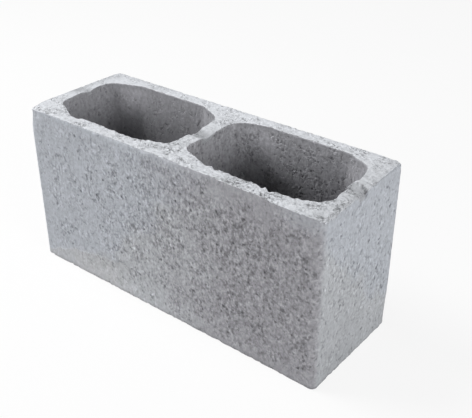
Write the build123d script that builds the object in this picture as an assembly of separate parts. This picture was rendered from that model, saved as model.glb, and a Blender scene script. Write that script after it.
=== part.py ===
from build123d import *
import math
import os

# A hollow concrete block, pressed in a mould as one piece. Two cores pass right through it, which
# leaves two long face shells, two end webs and a centre web.
# Lengths are in millimetres: X along the block, Y across it and Z up. The origin is the middle of
# the bottom face, and the top is the side that faced up in the mould.

# Outside of the block
LENGTH = 390.0
WIDTH = 140.0
HEIGHT = 190.0
UPRIGHT_ARRIS_RADIUS = 8.0

# Walls as they measure at the top, where they are thinnest
FACE_SHELL = 16.0
END_WEB = 16.0
CENTRE_WEB = 18.0

# How far each wall of a core leans in between the top and the bottom, so that the mould lifts off
CORE_DRAFT = 3.0

# Slanted corners of a core: their reach along and across the block, and the rounding beside them
CORNER_ALONG = 37.0
CORNER_ACROSS = 16.0
CORNER_RADIUS = 16.0

# Rounding of the rims, outside and round each core
TOP_RIM_RADIUS = 1.2
BOTTOM_RIM_RADIUS = 1.2

# Shallow trough across the three webs, left by the bar that carries the mould's cores
BAR_TRACE_WIDTH = 20.0
BAR_TRACE_DEPTH = 2.0


def core_outline(length, width):
    """A rectangle with its four corners cut off on a slant, centred on the origin."""
    end = length / 2
    side = width / 2
    corner = [(end, side - CORNER_ACROSS), (end - CORNER_ALONG, side)]
    back = corner + [(-x, y) for x, y in reversed(corner)]
    front = [(-x, -y) for x, y in back]
    return make_face(Polyline(*back, *front, close=True))


def core(length, width):
    """What fills one core: its outline at the top, with walls that lean in by the draft below it."""
    lean = math.degrees(math.atan(CORE_DRAFT / HEIGHT))
    prism = extrude(core_outline(length, width), amount=HEIGHT)
    walls = prism.faces().filter_by(Axis.Z, reverse=True)
    plug = draft(walls, Plane.XY.offset(HEIGHT), -lean)
    upright = plug.edges().filter_by(lambda edge: edge.bounding_box().size.Z > HEIGHT / 2)
    return fillet(upright, CORNER_RADIUS)


def blank():
    """The block before its cores, with its four upright arrises rounded."""
    body = Box(LENGTH, WIDTH, HEIGHT, align=(Align.CENTER, Align.CENTER, Align.MIN))
    return fillet(body.edges().filter_by(Axis.Z), UPRIGHT_ARRIS_RADIUS)


def bar_trace():
    """A cylinder longer than the block, whose underside dips into the top over the trough's width."""
    half_width = BAR_TRACE_WIDTH / 2
    radius = (half_width**2 + BAR_TRACE_DEPTH**2) / (2 * BAR_TRACE_DEPTH)
    axis_height = HEIGHT - BAR_TRACE_DEPTH + radius
    return Pos(0, 0, axis_height) * Rot(0, 90, 0) * Cylinder(radius, 2 * LENGTH)


def concrete_block():
    core_length = (LENGTH - 2 * END_WEB - CENTRE_WEB) / 2
    core_width = WIDTH - 2 * FACE_SHELL
    core_distance = (CENTRE_WEB + core_length) / 2
    plug = core(core_length, core_width)
    block = blank() - Pos(-core_distance, 0, 0) * plug - Pos(core_distance, 0, 0) * plug
    top = block.faces().sort_by(Axis.Z)[-1]
    block = fillet(top.edges(), TOP_RIM_RADIUS)
    bottom = block.faces().sort_by(Axis.Z)[0]
    block = fillet(bottom.edges(), BOTTOM_RIM_RADIUS)
    return block - bar_trace()


os.makedirs("parts", exist_ok=True)
export_step(concrete_block(), "parts/concrete_block.step")
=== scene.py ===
import functools
import itertools
import math

import bpy
import numpy as np
from mathutils import Matrix, Vector


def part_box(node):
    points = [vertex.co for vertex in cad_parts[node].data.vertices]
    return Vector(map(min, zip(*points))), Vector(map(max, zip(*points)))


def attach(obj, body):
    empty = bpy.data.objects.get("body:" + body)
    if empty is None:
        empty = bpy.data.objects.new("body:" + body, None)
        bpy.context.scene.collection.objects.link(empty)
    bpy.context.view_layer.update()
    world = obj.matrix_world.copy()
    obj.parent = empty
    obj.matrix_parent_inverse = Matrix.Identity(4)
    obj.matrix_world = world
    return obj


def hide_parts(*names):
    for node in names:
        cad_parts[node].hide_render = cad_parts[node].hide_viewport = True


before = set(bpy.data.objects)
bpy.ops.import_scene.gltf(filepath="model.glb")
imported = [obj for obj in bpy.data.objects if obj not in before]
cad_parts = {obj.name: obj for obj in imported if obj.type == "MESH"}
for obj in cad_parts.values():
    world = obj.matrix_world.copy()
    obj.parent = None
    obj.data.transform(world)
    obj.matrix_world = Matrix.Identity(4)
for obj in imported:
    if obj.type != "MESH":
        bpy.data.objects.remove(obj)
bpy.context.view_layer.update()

# The casting: one block of dry, stony concrete, rammed into a steel mould round two tapered cores
# and pushed straight out of it. Nothing is fixed to it, so it is a single closed skin, and this
# section works out that skin as the mould left it, before any wear.
(_, _, floor_height), (half_length, half_width, height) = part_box("concrete_block")
face_shell = 0.016
end_web = 0.016
centre_web = 0.018
core_draft = 0.003
corner_along = 0.037
corner_across = 0.016
corner_radius = 0.016
upright_radius = 0.008
top_rim = 0.0012
bottom_rim = 0.0012
core_half_length = (2 * half_length - 2 * end_web - centre_web) / 4
core_half_width = half_width - face_shell
core_middle = centre_web / 2 + core_half_length

columns_along = 104
columns_across = 74
bed_rows = 12
base_rows = 6
top_rim_steps = 4
bottom_rim_steps = 2


def rounded_outline(corners, radius):
    """Points and outward normals round a polygon whose corners run anticlockwise. At each corner
    the two walls are moved in by the radius, and an arc of that radius swings about the point
    where they now meet, from the normal of the wall before to the normal of the wall after."""
    arc_points = 17
    corners = np.array(corners)
    runs = np.roll(corners, -1, axis=0) - corners
    after = np.unwrap(np.arctan2(runs[:, 1], runs[:, 0])) - math.pi / 2
    before = np.roll(after, 1)
    before[0] -= 2 * math.pi
    middle = (before + after) / 2
    reach = radius / np.cos((after - before) / 2)
    centre = corners - reach[:, None] * np.stack([np.cos(middle), np.sin(middle)], axis=1)
    angle = before[:, None] + (after - before)[:, None] * np.linspace(0, 1, arc_points)
    normal = np.stack([np.cos(angle), np.sin(angle)], axis=-1)
    return centre[:, None] + radius * normal, normal


def spaced(point, normal, marks, counts):
    """Even columns round an outline: the marks are places along it, as lengths from its first
    point, and each stretch from one mark to the next is cut into its count of equal lengths."""
    point = point.reshape(-1, 2)
    normal = normal.reshape(-1, 2)
    steps = np.linalg.norm(np.diff(point, axis=0, append=point[:1]), axis=1)
    along = np.concatenate([[0], np.cumsum(steps)])
    around = along[-1]
    stops = [
        np.linspace(start, end, count, endpoint=False)
        for start, end, count in zip(marks[:-1], marks[1:], counts)
    ]
    at = np.concatenate(stops + [marks[-1:]]) % around
    point = np.concatenate([point, point[:1]])
    normal = np.concatenate([normal, normal[:1]])
    found = [np.interp(at, along, line[:, axis]) for line in (point, normal) for axis in (0, 1)]
    place = np.stack(found[:2], axis=1)
    facing = np.stack(found[2:], axis=1)
    return place, facing / np.linalg.norm(facing, axis=1, keepdims=True)


def lengths(point):
    """How far along the outline each corner's arc begins, has its middle and ends, one row a corner."""
    flat = point.reshape(-1, 2)
    steps = np.linalg.norm(np.diff(flat, axis=0), axis=1)
    along = np.concatenate([[0], np.cumsum(steps)]).reshape(point.shape[:2])
    return along[:, 0], along[:, along.shape[1] // 2], along[:, -1]


# The outside of the right half: from mid-front round both upright arrises to mid-back.
rectangle = [
    (-half_length, -half_width), (half_length, -half_width),
    (half_length, half_width), (-half_length, half_width),
]
outer, outer_facing = rounded_outline(rectangle, upright_radius)
first, midway, last = lengths(outer)
outer_marks = np.array([(last[0] + first[1]) / 2, midway[1], midway[2], (last[2] + first[3]) / 2])
outer_counts = (columns_along, columns_across, columns_along)
outer_at, outer_out = spaced(outer, outer_facing, outer_marks, outer_counts)

# The right core at the top, from the middle of its front left slant right round to there again.
straight_across = core_half_width - corner_across
straight_along = core_half_length - corner_along
octagon = [
    (-core_half_length, -straight_across), (-straight_along, -core_half_width),
    (straight_along, -core_half_width), (core_half_length, -straight_across),
    (core_half_length, straight_across), (straight_along, core_half_width),
    (-straight_along, core_half_width), (-core_half_length, straight_across),
]
core, core_facing = rounded_outline(octagon, corner_radius)
first, _, last = lengths(core)
slant_middles = (last[0::2] + first[1::2]) / 2
core_around = lengths(np.concatenate([core, core[:1]]))[0][-1]
core_marks = np.append(slant_middles, slant_middles[0] + core_around)
core_counts = (columns_along, columns_across, columns_along, columns_across)
core_at, core_out = spaced(core, core_facing, core_marks, core_counts)
core_at = core_at + (core_middle, 0)


def heights(top_gap, low_gap, mid_gap):
    """Rows up a wall: close together by the top rim, less so by the bottom and widest between. The
    rows to a metre die away from each rim to the middle's, and their running total is cut evenly."""
    top_reach = 0.012
    low_reach = 0.010
    fine_steps = 2000
    z = np.linspace(bottom_rim, height - top_rim, fine_steps)
    density = (
        1 / mid_gap
        + (1 / top_gap - 1 / mid_gap) * np.exp((z - height) / top_reach)
        + (1 / low_gap - 1 / mid_gap) * np.exp(-z / low_reach)
    )
    total = np.concatenate([[0], np.cumsum((density[1:] + density[:-1]) / 2 * np.diff(z))])
    return np.interp(np.linspace(0, total[-1], round(total[-1]) + 1), total, z)


def upright(at, out, z):
    """A wall over the columns of an outline, row by row of the heights z, and its outward normals."""
    shape = (len(z), len(at))
    point = np.dstack([np.broadcast_to(at, (*shape, 2)), np.broadcast_to(z[:, None], shape)])
    normal = np.dstack([np.broadcast_to(out, (*shape, 2)), np.zeros(shape)])
    return point, normal


def rim(at, out, radius, z, side, steps):
    """A quarter round along an outline, from the wall to the level face: about a line one radius
    in from the wall and one radius from the face, turning from the wall's normal to the face's."""
    turn = np.linspace(0, math.pi / 2, steps + 1)[:, None]
    inset = at - radius * out
    level = np.cos(turn)[..., None] * out
    rise = np.broadcast_to(side * np.sin(turn), level.shape[:2])
    point = np.dstack([inset + radius * level, z + radius * (rise - side)])
    return point, np.dstack([level, rise])


def bed(outside, inside, z, side, rows):
    """A level face between two outlines with as many columns: straight lines from one to the other."""
    share = np.linspace(0, 1, rows + 1)[:, None, None]
    flat = outside * (1 - share) + inside * share
    point = np.dstack([flat, np.full(flat.shape[:2], z)])
    normal = np.zeros_like(point)
    normal[..., 2] = side
    return point, normal


def web_line(inset):
    """The block's middle line from back to front, where its two halves meet across the centre web."""
    y = np.linspace(half_width - inset, inset - half_width, columns_across + 1)
    return np.stack([np.zeros_like(y), y], axis=1)


def leaning(patch):
    """A core's wall or rim, moved towards the core's middle line by the draft, which grows downwards."""
    point, normal = patch
    moved = point.copy()
    moved[..., :2] += core_draft * (1 - point[..., 2:] / height) * core_towards
    return moved, normal


core_towards = -core_out
outer_z = heights(top_gap=0.0013, low_gap=0.0022, mid_gap=0.0034)
core_z = heights(top_gap=0.0013, low_gap=0.0026, mid_gap=0.0042)
top_outline = np.concatenate([outer_at - top_rim * outer_out, web_line(top_rim)[1:]])
base_outline = np.concatenate([outer_at - bottom_rim * outer_out, web_line(bottom_rim)[1:]])
core_top = leaning(rim(core_at, core_towards, top_rim, height, 1, top_rim_steps))
core_base = leaning(rim(core_at, core_towards, bottom_rim, 0, -1, bottom_rim_steps))

# Each wall with the strip of the sheet it lies on, and whether it is drawn up (1) or down (-1) there,
# and each bed with its own place on the sheet.
walls = [
    (0, 1, upright(outer_at, outer_out, outer_z)),
    (0, 1, rim(outer_at, outer_out, top_rim, height, 1, top_rim_steps)),
    (0, -1, rim(outer_at, outer_out, bottom_rim, 0, -1, bottom_rim_steps)),
    (1, 1, leaning(upright(core_at, core_towards, core_z))),
    (1, 1, core_top),
    (1, -1, core_base),
]
beds = [
    (0, bed(top_outline, core_top[0][-1, :, :2], height, 1, bed_rows)),
    (1, bed(base_outline, core_base[0][-1, :, :2], 0, -1, base_rows)),
]

# The flat sheet that pictures of the skin are drawn on, 0.79 m square: the walls unrolled in four
# strips above one another, and to their right the two beds with the block's length up the sheet.
sheet_side = 0.790
sheet_margin = 0.002
strip_pitch = 0.197
bed_place = 0.607
first_bed_height = 0.196
bed_pitch = 0.395


def unrolled(point, strip, way):
    """Where a wall lies on the sheet: along the strip by the lengths of its first row, and up (1) or
    down (-1) from that row's own height by the lengths of its first column."""
    along = np.concatenate([[0], np.cumsum(np.linalg.norm(np.diff(point[0], axis=0), axis=1))])
    up = np.concatenate([[0], np.cumsum(np.linalg.norm(np.diff(point[:, 0], axis=0), axis=1))])
    rise = sheet_margin + strip * strip_pitch + point[0, 0, 2] + way * up
    return np.stack(np.broadcast_arrays(sheet_margin + along, rise[:, None]), axis=-1)


def spread_out(point, level):
    """Where a bed lies on the sheet: its width across it and its length up it."""
    sideways = bed_place + point[..., 1]
    upwards = first_bed_height + level * bed_pitch + point[..., 0]
    return np.stack([sideways, upwards], axis=-1)


patches = []
for half, side in enumerate((1, -1)):
    mirror = np.array([side, 1, 1])
    for strip, way, (point, normal) in walls:
        patches.append((point * mirror, normal * mirror, unrolled(point, strip + 2 * half, way)))
    for level, (point, normal) in beds:
        patches.append((point * mirror, normal * mirror, spread_out(point * mirror, level)))


def quads(point, normal):
    """Four-sided faces of a grid of points, turned to face the way its normals do."""
    rows, columns = point.shape[:2]
    index = np.arange(rows * columns).reshape(rows, columns)
    face = np.stack([index[:-1, :-1], index[:-1, 1:], index[1:, 1:], index[1:, :-1]], axis=-1)
    crossing = np.cross(point[1:, 1:] - point[:-1, :-1], point[1:, :-1] - point[:-1, 1:])
    if (crossing * normal[:-1, :-1]).sum() < 0:
        face = face[..., ::-1]
    return face.reshape(-1, 4)


def welded(patches):
    """One skin from many grids, and each face corner's place on the sheet: points that agree to a
    thousandth of a millimetre become one."""
    points, flats, faces = [], [], []
    for point, normal, flat in patches:
        faces.append(quads(point, normal) + sum(map(len, points)))
        points.append(point.reshape(-1, 3))
        flats.append(flat.reshape(-1, 2))
    points, flats, faces = map(np.concatenate, (points, flats, faces))
    _, first, joined = np.unique(np.round(points, 6), axis=0, return_index=True, return_inverse=True)
    return points[first], joined.reshape(-1)[faces], flats[faces] / sheet_side


skin, faces, on_sheet = welded(patches)

# The wear of the casting: what a dry mix, the stripping of the mould and handling leave on it. All
# of it is a function of place, so the same stone, pit or chip lies across the joins of the skin.


def lattice(cell, seed):
    """A number from 0 to 1 for each whole-numbered cell, the same in every run: its three indices and
    the seed, each times a large prime, are combined bit by bit, and the bits are stirred twice."""
    bits = cell[:, 0] * 73856093 ^ cell[:, 1] * 19349663 ^ cell[:, 2] * 83492791 ^ seed * 50331653
    for _ in range(2):
        bits = (bits ^ (bits >> 16)) * 73244475 & 0xFFFFFFFF
    return (bits ^ (bits >> 16)) % 65536 / 65535


def noise(point, size, seed):
    """Smooth noise from -1 to 1: a number at every corner of cells of this size, blended from corner
    to corner along a curve that is level at both ends."""
    cell = np.floor(point / size).astype(int)
    share = point / size - cell
    share = share * share * (3 - 2 * share)
    total = 0
    for corner in itertools.product((0, 1), repeat=3):
        weight = np.where(corner, share, 1 - share).prod(axis=1)
        total = total + weight * lattice(cell + corner, seed)
    return 2 * total - 1


def rough(point, size, seed):
    """Noise of three sizes, each half the size and three fifths the height of the one before."""
    size = np.array(size)
    octaves = [0.6**step * noise(point, size / 2**step, seed + step) for step in range(3)]
    return sum(octaves) / 1.5


def grains(point, size, seed):
    """Each place belongs to the nearest of a scatter of stones, one to a cell of this size: how far
    off its middle is, as a share of the size, and a number from 0 to 1 that is the stone's own."""
    cell = np.floor(point / size).astype(int)
    nearest = np.full(len(point), 9.0)
    own = np.zeros(len(point))
    for step in itertools.product((-1, 0, 1), repeat=3):
        spot = cell + step
        middle = spot + np.stack([lattice(spot, seed + axis) for axis in range(3)], axis=1)
        distance = np.linalg.norm(point / size - middle, axis=1)
        closer = distance < nearest
        nearest = np.where(closer, distance, nearest)
        own = np.where(closer, lattice(spot, seed + 3), own)
    return nearest, own


def near(distance, reach):
    """1 at no distance, falling along a bell curve to about a third at the reach."""
    return np.exp(-(distance / reach) ** 2)


def ramp(value, start, end):
    """From 0 at the start to 1 at the end, level at both."""
    share = np.clip((value - start) / (end - start), 0, 1)
    return share * share * (3 - 2 * share)


# Where each point of the skin lies: how far below the top, in from the outer walls, out from the
# nearer core, and from the arrises between them. A core is the same in all four quarters, so one will
# do: the distance is to the octagon with the corner radius taken off all round, less that radius, and
# the draft at that height is added.
x, y, z = skin.T
below = height - z
from_end = half_length - np.abs(x)
from_side = half_width - np.abs(y)
from_outside = np.minimum(from_end, from_side)
quarter = np.abs(np.stack([np.abs(x) - core_middle, y], axis=1))
slant_start = core[4, 0] - corner_radius * core_facing[4, 0]
slant_end = core[5, 0] - corner_radius * core_facing[5, 0]
slant = slant_end - slant_start
along_slant = np.clip((quarter - slant_start) @ slant / (slant @ slant), 0, 1)
closest = np.stack([
    np.minimum(quarter, slant_start),
    slant_start + along_slant[:, None] * slant,
    np.minimum(quarter, slant_end),
])
gaps = quarter - closest
to_octagon = np.linalg.norm(gaps, axis=2)
nearest_side = to_octagon.argmin(axis=0)
to_octagon = to_octagon.min(axis=0)
away = gaps[nearest_side, np.arange(len(skin))] / to_octagon[:, None]
from_core = to_octagon - corner_radius + core_draft * (1 - z / height)
top_arris = np.hypot(from_outside, below)
core_arris = np.hypot(from_core, below)
base_arris = np.hypot(np.minimum(from_outside, from_core), z)
upright_arris = np.hypot(from_end, from_side)

# The way out of the concrete at each point. It swings evenly round every arris, whose pull dies away
# over a few millimetres, so that wear on either side of an arris never folds the skin.
pull = 0.003
outwards = np.zeros_like(skin)
outwards[:, 0] = np.sign(x) * np.exp(-from_end / pull)
outwards[:, 1] = np.sign(y) * np.exp(-from_side / pull)
outwards[:, 2] = np.exp(-below / pull) - np.exp(-z / pull)
core_pull = np.exp(-np.maximum(from_core, 0) / pull)
outwards[:, 0] -= core_pull * away[:, 0] * np.sign(x) * np.sign(np.abs(x) - core_middle)
outwards[:, 1] -= core_pull * away[:, 1] * np.sign(y)
outwards /= np.linalg.norm(outwards, axis=1, keepdims=True)

# The bed was struck off level while it was still loose: stones stand up out of it, with gaps
# between, most of all on the near shell. It ends a little inside the arris where the mould's paste
# folded over, and runs down over the arris near the right front corner. These are the places along
# the near and right sides, and how far inside the arris it ends there.
near_places = (-0.195, -0.170, -0.100, -0.060, 0.000, 0.018, 0.030, 0.066, 0.080, 0.130, 0.140)
near_folds = (0.0000, 0.0012, 0.0010, 0.0024, 0.0028, 0.0035, 0.0022, 0.0020, 0.0003, 0.0000, -0.0018)
right_places = (-0.042, -0.036, 0.010, 0.024, 0.030, 0.060)
right_folds = (-0.0042, -0.0028, -0.0010, 0.0000, 0.0010, 0.0018)
near_fold = np.interp(x, near_places, near_folds)
right_fold = np.interp(y, right_places, right_folds)
near_shell = ramp(-y, 0.025, 0.050)
bed_edge = np.minimum.reduce([
    half_width + y - near_fold,
    half_length - x - right_fold,
    half_width - y - 0.0003,
    half_length + x - 0.0003,
    from_core - 0.0001,
])
bare = ramp(bed_edge - below + 0.0010 * rough(skin, 0.0060, 5), -0.0005, 0.0005)
coarseness = (0.5 + 0.5 * near_shell) * np.interp(x, (-0.195, 0.195), (0.75, 1.10))
stone, stone_own = grains(skin, 0.0044, 11)
worn = bare * coarseness * (0.0009 * stone**2 - 0.0004 * stone_own + 0.0007 * rough(skin, 0.0042, 21))
worn += bare * 0.0005 * np.maximum(0, rough(skin, 0.016, 25))

# The mould pressed the walls smooth, and dragged along them as the block was stripped.
on_wall = 1 - near(below, 0.0022)
drag = rough(skin, (0.006, 0.006, 0.055), 31)
worn += on_wall * near(from_core, 0.006) * (0.00022 * drag + 0.00012 * rough(skin, 0.009, 41))
worn += on_wall * near(from_outside, 0.006) * (
    0.00005 * drag + 0.00008 * rough(skin, 0.010, 51) + 0.00012 * (1 + noise(skin, 0.055, 61))
)

# Where the paste folded over, the arris is round. Elsewhere arrises crumble, and round the cores
# they are sharp and ragged, most of all on the near shell.
crumble = np.maximum(0, rough(skin, 0.0048, 71) + 0.10)
lost, lost_own = grains(skin, 0.0075, 81)
chip = np.maximum(0, 1 - (lost / 0.55) ** 2) * (lost_own > 0.72)
folded = ramp(near_fold, 0.0008, 0.0024) * near(half_width + y, 0.006)
loss = near(top_arris, 0.0030) * (0.0008 * folded + 0.0001 + 0.0005 * crumble + 0.0006 * chip)
ragged = 0.0002 + 0.0007 * near_shell
loss += near(core_arris, 0.0026) * (ragged * (rough(skin, 0.0048, 71) + 1.2 * chip) - 0.0003)
loss += near(upright_arris, 0.0060) * (0.0004 * crumble + 0.0005 * chip) * on_wall
loss += near(base_arris, 0.0030) * (0.0009 * crumble + 0.0010 * chip)

# The bar that carried the mould's cores lay across the middle of the three webs and left a rough
# trough there, on the left web only beside the core. On the right web it tore the outside away, from
# a sharp step on the far side, deepest at the end face, and pushed a lip of concrete into the core.
in_right_web = ramp(x, 0.100, 0.110)
in_left_web = ramp(x, -0.100, -0.110)
centre_trough = np.interp(y, (-0.0120, -0.0085, -0.0020, 0.0045, 0.0100), (0, 0.85, 1.0, 0.6, 0))
trough_depth = 0.0030
sunk = trough_depth * centre_trough * (1 - in_right_web) * (1 - in_left_web)
left_trough = np.interp(y, (-0.0030, 0.0035, 0.0080, 0.0140), (0, 0.8, 1.0, 0))
sunk += in_left_web * left_trough * np.interp(x, (-0.192, -0.185, -0.179), (0, 0.0012, 0.0020))
step = np.interp(x, (0.179, 0.182, 0.189, 0.195), (0.0082, 0.0068, 0.0045, -0.0005)) - y
step += 0.0010 * rough(skin, 0.006, 111)
torn_away = ramp(step, -0.0004, 0.0008) * ramp(y, -0.018, -0.009)
sunk += in_right_web * torn_away * np.interp(x, (0.179, 0.186, 0.195), (0.0010, 0.0028, 0.0040))
sunk *= (0.90 + 0.55 * rough(skin, 0.0045, 121)) * ramp(below, 0.012, 0)

# A painted shadow lies along the step's edge on the bed, where the step's wall is in shade, and
# runs a little way down the end.
along_step = near(step, 0.0012) * ramp(x, 0.180, 0.183) * ramp(below, 0.009, 0.006)
down_end = near(y + 0.0005, 0.0020) * ramp(from_end, 0.003, 0.001) * ramp(below, 0.009, 0.006)
broken_up = ramp(rough(skin, 0.0034, 141), -0.55, 0.05)
step_shadow = in_right_web * np.maximum(along_step, down_end) * broken_up

# The outline of the cores strays from true at the top. These are the middles of such places, how far
# they reach and how far the wall there lies from the core's middle (or, below 0, towards it). Where
# the bar lay on the right web, a lip stands out into the core.
spread = 0
for centre_x, centre_y, reach, out in (
    (0.026, 0.047, 0.018, 0.0045),
    (0.036, -0.048, 0.018, -0.0014),
    (0.009, 0.010, 0.022, -0.0009),
    (-0.009, 0.010, 0.022, 0.0009),
    (0.057, -0.054, 0.010, -0.0012),
    (0.080, -0.054, 0.010, -0.0020),
    (0.130, -0.054, 0.006, 0.0014),
    (0.155, -0.052, 0.007, 0.0012),
    (0.163, -0.047, 0.010, 0.0048),
    (0.179, -0.034, 0.010, 0.0028),
    (-0.164, -0.037, 0.015, -0.0032),
    (-0.176, -0.024, 0.010, -0.0014),
    (0.179, 0.033, 0.011, -0.0030),
    (-0.009, 0.033, 0.011, -0.0030),
    (-0.012, -0.041, 0.012, 0.0025),
):
    spread = spread + out * near(np.hypot(x - centre_x, y - centre_y), reach)
spread *= ramp(below, 0.120, 0.020)
lip_width = 0.0026
lip = ramp(y, -0.010, -0.002) * ramp(y, 0.011, 0.006) * ramp(below, 0.010, 0.003)
spread -= lip_width * in_right_web * lip
spread *= ramp(from_core, 0.009, 0)
shaped = skin.copy()
shaped[:, 0] += spread * away[:, 0] * np.sign(x) * np.sign(np.abs(x) - core_middle)
shaped[:, 1] += spread * away[:, 1] * np.sign(y)

# Places where a piece broke out or was left standing: the middle, the reach and the depth of each.
for middle, reach, deep in (
    ((0.195, 0.070, 0.190), 0.0090, 0.0012),
    ((0.195, -0.006, 0.187), 0.0080, 0.0016),
    ((-0.179, 0.008, 0.188), 0.0050, 0.0010),
    ((-0.134, -0.054, 0.190), 0.0090, 0.0012),
    ((-0.098, -0.054, 0.190), 0.0170, -0.0012),
    ((0.062, -0.054, 0.190), 0.0040, 0.0014),
    ((0.085, -0.054, 0.190), 0.0090, 0.0010),
    ((0.118, -0.054, 0.190), 0.0030, 0.0014),
    ((0.127, -0.054, 0.190), 0.0036, 0.0017),
    ((0.150, -0.052, 0.190), 0.0040, 0.0014),
    ((0.172, -0.044, 0.190), 0.0050, 0.0016),
):
    off_middle = np.linalg.norm(skin - middle, axis=1) / reach
    loss += deep * np.maximum(0, 1 - off_middle**2) * (1 + 0.25 * rough(skin, 0.005, 131))

# The top of the left front corner is worn quite round, and the bottom is a little uneven.
worn_reach = 0.026
worn_depth = 0.0026
off_corner = np.linalg.norm(skin - (-half_length, -half_width, height), axis=1)
eased = worn_depth * np.maximum(0, 1 - (off_corner / worn_reach) ** 2) ** 2
uneven = near(z, 0.0020) * 0.00006 * (1 + rough(skin, 0.008, 101))
worn += loss + eased + uneven

# Towards its foot the near right upright arris is less round than above, and the far ones more.
low_down = ramp(z, 0.055, 0.005)
filled = 0.0023 * near(upright_arris, 0.0045) * ramp(-y, 0.030, 0.060) * ramp(x, 0, 0.1)
rounded = 0.0019 * near(upright_arris, 0.0080) * ramp(y, 0.030, 0.060)
worn += low_down * (rounded - filled)
shaped -= worn[:, None] * outwards
shaped[:, 2] = np.maximum(shaped[:, 2] - sunk, floor_height)

# The bed is duller on the webs, most of all where the bar lay, and at the back of the left core.
inner = ramp(from_side, 0.018, 0.030)
duller = inner * near(x, 0.012) * (0.10 + 0.13 * near(y + 0.001, 0.011))
duller += near(x + half_length, 0.017) * (0.04 + 0.15 * ramp(y, -0.040, 0.010) + 0.28 * near(y, 0.010))
duller += near(x - half_length, 0.018) * (0.10 + 0.04 * inner)
duller += near(x + 0.130, 0.045) * near(y - half_width, 0.016) * 0.13
duller += near_shell * ramp(x, -0.020, -0.060) * 0.06

# Painted light: the slants at the back of the cores are lighter towards the top, where light falls
# into the cores, most of all on their left.
from_left = x - np.sign(x) * core_middle + core_half_length
painted_light_on_slants = ramp(from_left, 0.058, 0.030) * ramp(from_left, 0.006, 0.018)
painted_light_on_slants += 0.4 * ramp(from_left, 0.115, 0.140)
painted_light_on_slants *= ramp(y, 0.024, 0.038) * ramp(below, 0.045, 0.020) * ramp(below, 0, 0.010)
painted_light_on_slants *= near(from_core, 0.004)

# What the surface is like at each point, from 0 to 1, for its colour and fine relief to follow.
laid_bare = np.maximum(bare, ramp(np.abs(loss) + sunk, 0.0011, 0.0018))
by_arris = np.maximum.reduce([near(below, 0.007), near(z, 0.009), near(upright_arris, 0.012)])
surface = {
    "exposed": laid_bare,
    "margin": by_arris * near(from_outside, 0.004) * (1 - laid_bare),
    "inside": near(from_core, 0.004) * (1 - laid_bare),
    # The step's painted shadow, and darker broken places in the trough.
    "torn_and_step_shadow": np.maximum(step_shadow, (0.38 - 0.04 * in_right_web) * ramp(sunk, 0.0004, 0.0018)),
    "dull": duller,
    # Painted light high on the cores' back slants.
    "painted_slant_light": painted_light_on_slants,
}

mesh = bpy.data.meshes.new("casting")
mesh.from_pydata(shaped.tolist(), [], faces.tolist())
mesh.shade_smooth()
for name, values in surface.items():
    mesh.attributes.new(name, "FLOAT", "POINT").data.foreach_set("value", values.astype(np.float32))
mesh.uv_layers.new(name="OFBake").data.foreach_set("uv", on_sheet.reshape(-1).astype(np.float32))
casting = bpy.data.objects.new("casting", mesh)
bpy.context.scene.collection.objects.link(casting)

# Its concrete: grey cement paste full of sand, with stones and small open pits. The walls carry a
# skin of paste from the mould, smoother along the arrises and streaked upright; the bed and the
# broken places show paler sand. The right part of the near shell is warmer, darker and more open,
# its darkness partly tone and partly painted shade. Painted shade also lies deep in the cores and
# along the foot, and painted light high on the cores' back slants.
concrete = bpy.data.materials.new("dry_pressed_concrete")
concrete.use_nodes = True
tree = concrete.node_tree
tree.nodes.clear()


def shade(kind, inputs, **settings):
    """A node in the tree being made: its settings by name, and its inputs by name or number, each
    given as a value or as the output that feeds it."""
    made = tree.nodes.new("ShaderNode" + kind)
    for name, value in settings.items():
        setattr(made, name, value)
    for name, value in inputs.items():
        if isinstance(value, bpy.types.NodeSocket):
            tree.links.new(value, made.inputs[name])
        else:
            made.inputs[name].default_value = value
    return made


def maths(operation, *values, clamp=False):
    """One sum on numbers or outputs, of the kind named, kept from 0 to 1 if it is clamped."""
    return shade("Math", dict(enumerate(values)), operation=operation, use_clamp=clamp).outputs[0]


def between(value, start, end, low=0.0, high=1.0):
    """A value taken from its range onto another, along a curve that is level at both ends."""
    inputs = {"Value": value, "From Min": start, "From Max": end, "To Min": low, "To Max": high}
    return shade("MapRange", inputs, interpolation_type="SMOOTHSTEP").outputs["Result"]


def blend(share, one, other):
    """A colour between two others: one at no share, the other at a full share."""
    inputs = {"Factor": share, 6: one, 7: other}
    return shade("Mix", inputs, data_type="RGBA").outputs[2]


def product(*values):
    """All the values times one another."""
    return functools.reduce(functools.partial(maths, "MULTIPLY"), values)


def added(*values):
    """All the values together."""
    return functools.reduce(functools.partial(maths, "ADD"), values)


def swing(value):
    """A noise of 0 to 1, less a half, so that it swings evenly about nothing."""
    return maths("SUBTRACT", value, 0.5)


def more(value, share):
    """One, and a share of the value on top."""
    return maths("MULTIPLY_ADD", value, share, 1.0)


def less(value, share):
    """One, less a share of the value."""
    return maths("SUBTRACT", 1.0, maths("MULTIPLY", value, share))


def clouds(size, detail=2.0, coordinates=None):
    """Noise whose largest lumps measure about this many metres."""
    inputs = {"Vector": coordinates or place, "Scale": 1 / size, "Detail": detail, "Roughness": 0.55}
    return shade("TexNoise", inputs).outputs["Fac"]


def lumps(size, coordinates):
    """Scattered stones this many metres apart: how far off the nearest is, and its own random colour."""
    found = shade("TexVoronoi", {"Vector": coordinates, "Scale": 1 / size})
    return found.outputs["Distance"], shade("SeparateColor", {"Color": found.outputs["Color"]}).outputs


def measured(name):
    """One of the values stored at the points of the skin."""
    return shade("Attribute", {}, attribute_name=name).outputs["Fac"]


place = shade("TexCoord", {}).outputs["Object"]
fringe = maths("MULTIPLY", swing(clouds(0.0030, 2.0)), 1.6)
exposed = between(maths("ADD", measured("exposed"), fringe), 0.30, 0.70)
margin = measured("margin")
inside = measured("inside")
torn_and_step_shadow = measured("torn_and_step_shadow")
dull = measured("dull")
painted_slant_light = measured("painted_slant_light")
covered = maths("SUBTRACT", 1.0, exposed)

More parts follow.
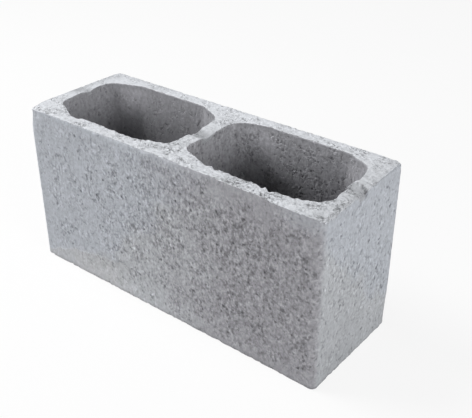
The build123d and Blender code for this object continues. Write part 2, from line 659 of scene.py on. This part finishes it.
# Places are shaken a little before pits are looked up, so that none is quite round, and squeezed
# upright, so that what the mould dragged along the walls is taller than it is wide.
shaking = shade("TexNoise", {"Vector": place, "Scale": 900.0, "Detail": 1.0}).outputs["Color"]
shaking = shade("VectorMath", {0: shaking, 1: (0.5, 0.5, 0.5)}, operation="SUBTRACT").outputs[0]
shaking = shade("VectorMath", {0: shaking, "Scale": 0.0022}, operation="SCALE").outputs[0]
shaken = shade("VectorMath", {0: place, 1: shaking}, operation="ADD").outputs[0]
dragged = shade("Mapping", {"Vector": place, "Scale": (1.0, 1.0, 0.82)}).outputs[0]
stretched = shade("Mapping", {"Vector": place, "Scale": (1.2, 1.2, 0.78)}).outputs[0]
drawn_out = shade("Mapping", {"Vector": place, "Scale": (1.0, 1.0, 0.10)}).outputs[0]

# The near shell is warmer, darker and more open towards the right, the darkness partly tone and
# partly painted shade, and the end is open in a band that falls towards the back. High up both are
# bluer. Low at the left of the near shell a line from standing damp shows over a smoother foot. The
# foot of the near shell is paler, partly paste and partly painted light from the floor, and a
# painted shadow lies low in the right core.
parts = shade("SeparateXYZ", {"Vector": place}).outputs
drift = maths("MULTIPLY", swing(clouds(0.050, 3.0)), 0.20)
along = maths("ADD", parts["X"], drift)
rise = maths("ADD", parts["Z"], maths("MULTIPLY", drift, 0.6))
in_front = between(parts["Y"], -0.062, -0.069)
in_end = between(parts["X"], 0.188, 0.194)
# Painted shade in part: the right of the near shell is darker as well as warmer.
warm_shaded_part = product(between(along, -0.060, 0.130), in_front)
open_front = product(between(along, -0.140, -0.010), in_front, between(parts["Z"], 0.010, 0.070, 0.5, 1.0))
off_band = maths("ABSOLUTE", maths("ADD", rise, maths("MULTIPLY_ADD", parts["Y"], 0.55, -0.095)))
open_end = product(in_end, between(off_band, 0.065, 0.010), 0.8)
dark_end = product(in_end, between(parts["Y"], 0.025, -0.020), between(parts["Z"], 0.150, 0.020, 0.3, 1.0))
open_part = maths("MAXIMUM", open_front, open_end)
above_front_line = maths("SUBTRACT", rise, maths("MULTIPLY_ADD", parts["X"], 0.9, 0.125))
above_end_line = maths("ADD", rise, maths("SUBTRACT", parts["Y"], 0.095))
blue_part = maths(
    "ADD",
    product(in_front, between(above_front_line, -0.012, 0.012)),
    product(in_end, between(above_end_line, -0.015, 0.015)),
)
smooth_top = product(in_front, between(parts["Z"], 0.155, 0.186), between(parts["X"], 0.000, 0.120))
blue_corner = product(in_front, between(parts["Z"], 0.165, 0.184), between(parts["X"], 0.130, 0.175))
# The foot of the near shell is paler: partly a paler paste, partly painted light from the floor.
paler_and_floor_lit_foot = product(
    in_front,
    between(parts["Z"], 0.034, 0.010),
    between(parts["X"], 0.150, -0.050, 0.4, 1.0),
    between(parts["X"], -0.190, -0.100, 0.3, 1.0),
)
# A painted shadow low on the back wall of the right core.
painted_core_shadow = product(
    inside,
    between(parts["X"], 0.030, 0.054),
    between(parts["X"], 0.120, 0.070),
    between(parts["Z"], 0.146, 0.126),
)
tide_line = maths("MULTIPLY_ADD", parts["X"], 0.28, 0.0610)
above_tide = maths("SUBTRACT", maths("MULTIPLY_ADD", drift, 0.12, parts["Z"]), tide_line)
smooth_foot = product(in_front, between(above_tide, 0.002, -0.002), between(parts["X"], -0.030, -0.090))
at_tide = between(maths("ABSOLUTE", above_tide), 0.0014, 0.0002)
tide_mark = product(in_front, at_tide, between(parts["X"], -0.060, -0.100))

# Sand shows as a speckle of light and dark, in patches, stronger where the concrete is open. Small
# flecks are the lowest places of another noise, and pits are scattered singly.
patchy = between(clouds(0.013, 2.0), 0.46, 0.58)
roughened = added(
    product(open_part, 0.46),
    product(patchy, 0.70),
    product(in_front, 0.12),
    product(warm_shaded_part, 0.22),
    product(smooth_top, -0.90),
    product(smooth_foot, -0.35),
    product(inside, between(parts["X"], -0.06, 0.04, -0.15, 0.3)),
    product(margin, -0.50),
)
roughened = maths("MAXIMUM", roughened, 0.0)
grain = swing(clouds(0.0026, 2.0, dragged))
speckle = swing(clouds(0.0050, 2.0, stretched))
lowest = maths("SUBTRACT", clouds(0.0036, 2.0, dragged), maths("MULTIPLY", roughened, 0.09))
fleck = between(lowest, 0.42, 0.20)
to_stone, stone_numbers = lumps(0.0065, shaken)
pit_width = maths("MULTIPLY", maths("ADD", stone_numbers[0], 0.6), 0.20)
pit = product(
    maths("SUBTRACT", 1.0, between(maths("DIVIDE", to_stone, pit_width), 0.35, 1.0)),
    maths("LESS_THAN", stone_numbers[1], maths("MULTIPLY_ADD", roughened, 0.26, 0.03)),
    maths("MULTIPLY_ADD", covered, 0.75, 0.25),
)

# The twelve most noticeable pits have places of their own.
for spot, radius in (
    ((0.195, 0.049, 0.152), 0.0024),
    ((-0.038, -0.070, 0.097), 0.0028),
    ((0.005, -0.070, 0.123), 0.0024),
    ((0.031, -0.070, 0.159), 0.0024),
    ((-0.119, -0.070, 0.177), 0.0020),
    ((-0.064, -0.070, 0.128), 0.0020),
    ((-0.060, -0.070, 0.054), 0.0022),
    ((-0.080, -0.070, 0.137), 0.0016),
    ((0.000, -0.070, 0.070), 0.0018),
    ((0.076, -0.070, 0.080), 0.0020),
    ((0.110, -0.070, 0.160), 0.0018),
    ((0.176, -0.070, 0.019), 0.0022),
):
    to_spot = shade("VectorMath", {0: shaken, 1: spot}, operation="DISTANCE").outputs["Value"]
    pit = maths("MAXIMUM", pit, between(to_spot, radius, radius * 0.4))

# The bed and the broken places are crumbly, with holes between the crumbs and sand on them, coarsest
# on the near shell and towards the right, but finer at the right front corner.
mottle = clouds(0.009, 2.0)
streak = swing(clouds(0.0050, 3.0, drawn_out))
crumbs = clouds(0.0036, 3.0)
scatter = clouds(0.0034, 1.0, shaken)
coarse = product(
    exposed,
    between(parts["Y"], -0.020, -0.050, 0.55, 1.0),
    maths("ADD", patchy, 0.5),
    between(parts["X"], -0.160, 0.180, 0.70, 1.10),
)
right_corner = product(between(parts["X"], 0.160, 0.176), between(parts["Y"], -0.036, -0.044))
hole = maths("MULTIPLY", between(scatter, 0.41, 0.28), coarse, clamp=True)
hole = maths("MULTIPLY", hole, between(right_corner, 0.0, 1.0, 1.0, 0.35))
sand = maths("MULTIPLY", between(scatter, 0.55, 0.68), coarse)
crumbly = maths("MULTIPLY", swing(crumbs), coarse)

# The colours, laid over one another, and then all that makes them lighter or darker.
cool = (0.418, 0.430, 0.450, 1)
blue = (0.408, 0.427, 0.462, 1)
# The warm grey is darker partly as painted shade.
warm_shaded_grey = (0.316, 0.314, 0.334, 1)
foot_grey = (0.412, 0.414, 0.424, 1)
core_grey = (0.424, 0.424, 0.450, 1)
pale = (0.706, 0.726, 0.762, 1)
colour = blend(blue_part, cool, blue)
colour = blend(warm_shaded_part, colour, warm_shaded_grey)
colour = blend(maths("MULTIPLY", blue_corner, 0.50), colour, blue)
colour = blend(maths("MULTIPLY", smooth_foot, 0.60), colour, foot_grey)
colour = blend(inside, colour, core_grey)
colour = blend(maths("MULTIPLY", exposed, 0.95), colour, pale)
# Painted shade: the core walls darken downwards from near their top.
painted_core_shade = between(parts["Z"], 0.175, 0.115, 0.05, 0.42)
strength = product(
    between(mottle, 0.25, 0.75, 0.95, 1.05),
    more(product(grain, covered), maths("MULTIPLY_ADD", roughened, 0.80, 0.55)),
    more(product(speckle, covered), maths("MULTIPLY_ADD", roughened, 0.85, 0.35)),
    less(product(fleck, covered), 0.34),
    maths("MULTIPLY_ADD", crumbly, 1.3, more(sand, 0.20)),
    less(hole, 0.50),
    more(product(covered, streak), maths("MULTIPLY_ADD", inside, 0.10, 0.15)),
    less(pit, 0.45),
    # Paler foot, partly painted light from the floor.
    more(paler_and_floor_lit_foot, 0.10),
    less(dark_end, 0.10),
    # Painted shade deep in the cores.
    less(inside, painted_core_shade),
    # Painted light high on the cores' back slants.
    more(painted_slant_light, 0.36),
    # Painted shadow low in the right core.
    less(painted_core_shadow, 0.55),
    more(product(tide_mark, crumbs), 0.26),
    # Painted shade along the very foot.
    between(parts["Z"], 0.0008, 0.0055, 0.78, 1.00),
    less(dull, exposed),
    # Darker where torn, with the painted shadow along the step.
    less(product(torn_and_step_shadow, maths("ADD", crumbs, 0.4)), 0.85),
)
colour = shade("VectorMath", {0: colour, "Scale": strength}, operation="SCALE").outputs[0]

# The relief is in metres: flecks and pits go in, sand stands out, and crumbly places stand up more.
relief = maths("ADD", maths("MULTIPLY", fleck, -0.00050), maths("MULTIPLY", pit, -0.00100))
relief = maths("MULTIPLY_ADD", grain, maths("MULTIPLY_ADD", roughened, 0.0008, 0.0003), relief)
relief = maths("MULTIPLY_ADD", speckle, maths("MULTIPLY_ADD", roughened, 0.0010, 0.0002), relief)
relief = maths("MULTIPLY_ADD", crumbly, 0.0052, relief)
relief = maths("MULTIPLY_ADD", sand, 0.0004, maths("MULTIPLY_ADD", hole, -0.0008, relief))
bumped = shade("Bump", {"Strength": 1.0, "Distance": 1.0, "Height": relief}).outputs["Normal"]
surface_shader = shade(
    "BsdfPrincipled",
    {"Base Color": colour, "Roughness": 0.92, "Specular IOR Level": 0.25, "Normal": bumped},
)
shade("OutputMaterial", {"Surface": surface_shader.outputs["BSDF"]})
mesh.materials.append(concrete)
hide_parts("concrete_block")
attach(casting, "root")

# The floor it stands on, and the white world round it: the camera, and anything that mirrors or
# passes what is behind, sees the world at full white, while it lights the block at a plain level.
# Most of what the camera sees of the floor is white too, and the rest keeps the shadow.
floor_reach = 5
floor_corners = [
    (-floor_reach, -floor_reach, 0), (floor_reach, -floor_reach, 0),
    (floor_reach, floor_reach, 0), (-floor_reach, floor_reach, 0),
]
floor_mesh = bpy.data.meshes.new("floor")
floor_mesh.from_pydata(floor_corners, [], [(0, 1, 2, 3)])
floor = bpy.data.objects.new("floor", floor_mesh)
bpy.context.scene.collection.objects.link(floor)
chalk = bpy.data.materials.new("floor")
chalk.use_nodes = True
tree = chalk.node_tree
tree.nodes.clear()


def seen():
    """1 for the rays that come from the camera, a mirror or glass, and 0 for those that light things."""
    ray = shade("LightPath", {}).outputs
    looked = maths("MAXIMUM", ray["Is Camera Ray"], ray["Is Glossy Ray"])
    return maths("MAXIMUM", looked, ray["Is Transmission Ray"])


chalky = shade("BsdfDiffuse", {"Color": (0.84, 0.84, 0.84, 1)}).outputs[0]
white = shade("Emission", {"Color": (1, 1, 1, 1), "Strength": 1.0}).outputs[0]
white_share = maths("MULTIPLY", seen(), 0.87)
seen_floor = shade("MixShader", {0: white_share, 1: chalky, 2: white}).outputs[0]
shade("OutputMaterial", {"Surface": seen_floor})
floor_mesh.materials.append(chalk)

world = bpy.data.worlds.new("studio")
world.use_nodes = True
bpy.context.scene.world = world
tree = world.node_tree
tree.nodes.clear()
plain_light = 0.20
sky_strength = maths("ADD", plain_light, maths("MULTIPLY", seen(), 1 - plain_light))
sky = shade("Background", {"Color": (1, 1, 1, 1), "Strength": sky_strength})
shade("OutputWorld", {"Surface": sky.outputs[0]})


# Three soft boxes light it: one high at the left, a weak one low in front and one out to the right.
def softbox(name, side, power, stand, target):
    """A square lamp of this side and power, turned from where it stands towards a target."""
    lamp = bpy.data.lights.new(name, "AREA")
    lamp.size = side
    lamp.energy = power
    box = bpy.data.objects.new(name, lamp)
    box.location = stand
    box.rotation_euler = (Vector(target) - Vector(stand)).to_track_quat("-Z", "Y").to_euler()
    bpy.context.scene.collection.objects.link(box)


softbox("above", side=0.9, power=34.5, stand=(-1.10, -0.35, 1.70), target=(0.0, 0.0, 0.15))
softbox("left", side=1.2, power=10.0, stand=(-0.75, -1.90, 0.45), target=(0.0, 0.0, 0.1))
softbox("right", side=0.9, power=24.0, stand=(2.00, -0.35, 0.50), target=(0.0, 0.0, 0.1))

# The camera, from the front right and above. It aims beside the block's middle, and leans a little.
azimuth = math.radians(38.692)
elevation = math.radians(30.194)
roll = math.radians(0.036)
camera_distance = 0.854894
aim_right = 0.034591
aim_up = 0.003610
back = np.array([
    math.sin(azimuth) * math.cos(elevation),
    -math.cos(azimuth) * math.cos(elevation),
    math.sin(elevation),
])
level_right = np.array([math.cos(azimuth), math.sin(azimuth), 0])
level_up = np.cross(back, level_right)
right = level_right * math.cos(roll) + level_up * math.sin(roll)
up = level_up * math.cos(roll) - level_right * math.sin(roll)
eye = camera_distance * back + aim_right * right + aim_up * up + (0, 0, height / 2)
lens = bpy.data.cameras.new("camera")
lens.sensor_width = 36
lens.lens = 59.880
camera = bpy.data.objects.new("camera", lens)
turn = np.eye(4)
turn[:3, :4] = np.stack([right, up, back, eye], axis=1)
camera.matrix_world = Matrix(turn)
bpy.context.scene.collection.objects.link(camera)
bpy.context.scene.camera = camera
bpy.context.scene.view_settings.view_transform = "Standard"
